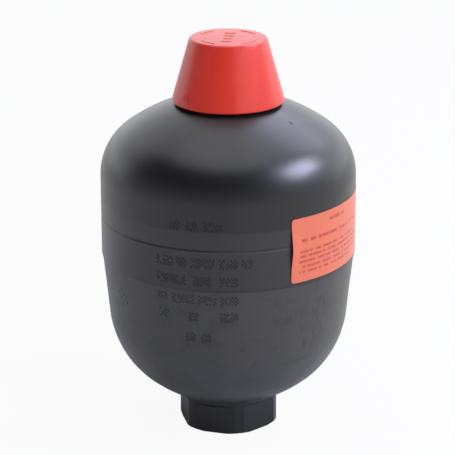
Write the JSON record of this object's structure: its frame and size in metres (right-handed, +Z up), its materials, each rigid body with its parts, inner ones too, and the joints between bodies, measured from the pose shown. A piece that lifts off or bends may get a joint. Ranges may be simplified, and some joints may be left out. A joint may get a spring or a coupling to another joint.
{
  "type": "diaphragm accumulator",
  "caption": "Welded steel gas-charged accumulator with a rubber diaphragm, a threaded hexagon oil port and a capped gas valve.",
  "frame": {"origin": "centre of the oil port's end face", "axes": "+Z up along the vessel's axis, from the oil port to the gas valve; -Y is the front"},
  "size_m": [0.1141, 0.114, 0.1799],
  "materials": {
    "shell_paint": "satin black paint over forged and turned steel",
    "weld_paint": "satin black paint over the weld bead",
    "boss_steel": "turned steel",
    "inner_steel": "turned steel, oiled",
    "plated_steel": "zinc plated",
    "spring_steel": "drawn wire",
    "core_brass": "turned",
    "diaphragm_rubber": "moulded, matte",
    "seal_rubber": "moulded, matte",
    "white_polymer": "machined",
    "cap_plastic": "moulded, satin",
    "sticker_film": "printed film"
  },
  "bodies": {
    "vessel": {"upper_shell": "shell_paint", "lower_shell": "shell_paint", "weld_seam": "weld_paint", "gas_boss": "boss_steel", "boss_weld": "boss_steel", "diaphragm": "diaphragm_rubber", "clamp_ring": "inner_steel", "valve_body": "plated_steel", "valve_body_seal": "seal_rubber", "backup_ring": "white_polymer", "core_plug": "core_brass", "core_barrel": "core_brass", "core_barrel_seal": "white_polymer", "core_spring": "spring_steel", "sticker": "sticker_film"},
    "cap": {"protective_cap": "cap_plastic"},
    "screw_cap": {"valve_cap": "plated_steel", "valve_cap_washer": "seal_rubber"},
    "pin": {"core_pin": "core_brass", "poppet_seal": "seal_rubber"},
    "button": {"closing_button": "inner_steel", "button_washer": "inner_steel"}
  },
  "joints": [
    {"name": "cap_pull", "type": "slide", "parent": "vessel", "child": "cap", "axis": [0, 0, 1], "range_m": [0, 0.045]},
    {"name": "valve_cap_unscrew", "type": "slide", "parent": "vessel", "child": "screw_cap", "axis": [0, 0, 1], "range_m": [0, 0.0062]},
    {"name": "core_pin_press", "type": "slide", "parent": "vessel", "child": "pin", "axis": [0, 0, -1], "range_m": [0, 0.0012], "stiffness_N_per_m": 3000, "springref_m": -0.0008, "deforming": ["core_spring"]},
    {"name": "button_lift", "type": "slide", "parent": "vessel", "child": "button", "axis": [0, 0, 1], "range_m": [0, 0.09], "stiffness_N_per_m": 150, "deforming": ["diaphragm"]}
  ]
}
